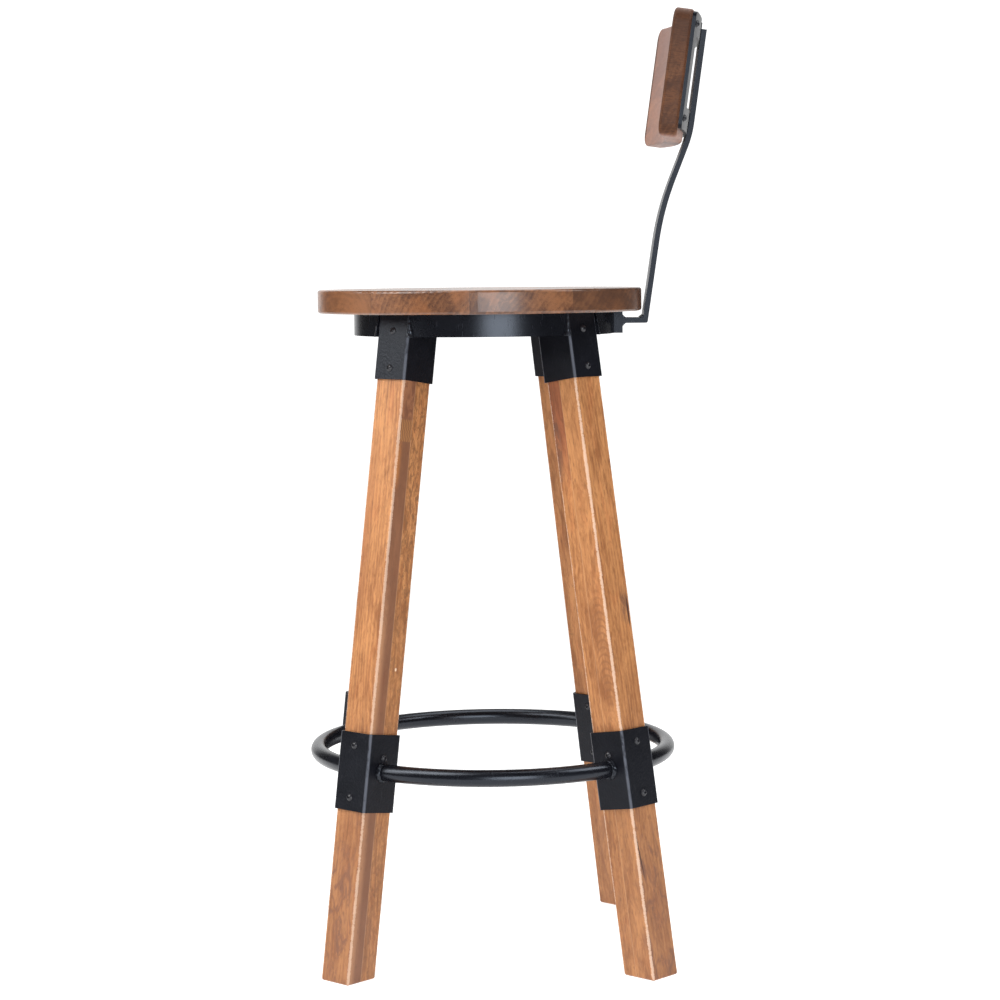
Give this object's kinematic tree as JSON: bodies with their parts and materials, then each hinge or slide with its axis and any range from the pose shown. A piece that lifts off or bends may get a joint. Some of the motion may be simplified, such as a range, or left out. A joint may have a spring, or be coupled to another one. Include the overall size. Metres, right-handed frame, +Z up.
{
  "type": "bar stool",
  "caption": "Bar stool: round glued-up wooden seat, splayed laminated legs in black steel sockets, round steel footrest ring, and a curved wooden back board on a bent steel bar",
  "frame": {"origin": "on the floor at the middle of the stool's overall box, halfway between the foremost point of the footrest and the rearmost point of the back bar", "axes": "+X toward the sitter's left, +Y toward the rear where the back board stands, +Z up"},
  "size_m": [0.4232, 0.4626, 1.0667],
  "materials": {
    "dark_wood": "satin lacquer",
    "leg_wood": "satin lacquer",
    "black_steel": "satin powder coat",
    "screw_steel": "black coated, semi-gloss"
  },
  "bodies": {
    "root": {"back_bar": "black_steel", "back_board": "dark_wood", "back_foot_bar": "black_steel", "back_frame_bottom": "black_steel", "back_frame_left": "black_steel", "back_frame_right": "black_steel", "back_frame_top": "black_steel", "back_frame_welds": "black_steel", "back_plate": "black_steel", "back_screws": "screw_steel", "foot_bar_welds": "black_steel", "footrest_front": "black_steel", "footrest_left": "black_steel", "footrest_rear": "black_steel", "footrest_right": "black_steel", "footrest_sleeve_front_left": "black_steel", "footrest_sleeve_front_right": "black_steel", "footrest_sleeve_rear_left": "black_steel", "footrest_sleeve_rear_right": "black_steel", "footrest_welds": "black_steel", "hoop_welds": "black_steel", "leg_front_left": "leg_wood", "leg_front_right": "leg_wood", "leg_rear_left": "leg_wood", "leg_rear_right": "leg_wood", "leg_socket_front_left": "black_steel", "leg_socket_front_right": "black_steel", "leg_socket_rear_left": "black_steel", "leg_socket_rear_right": "black_steel", "seat": "dark_wood", "seat_cross_bar_left": "black_steel", "seat_cross_bar_right": "black_steel", "seat_hoop_front": "black_steel", "seat_hoop_left": "black_steel", "seat_hoop_rear": "black_steel", "seat_hoop_right": "black_steel", "seat_screws": "screw_steel", "sleeve_screws": "screw_steel", "socket_screws": "screw_steel"}
  },
  "joints": []
}
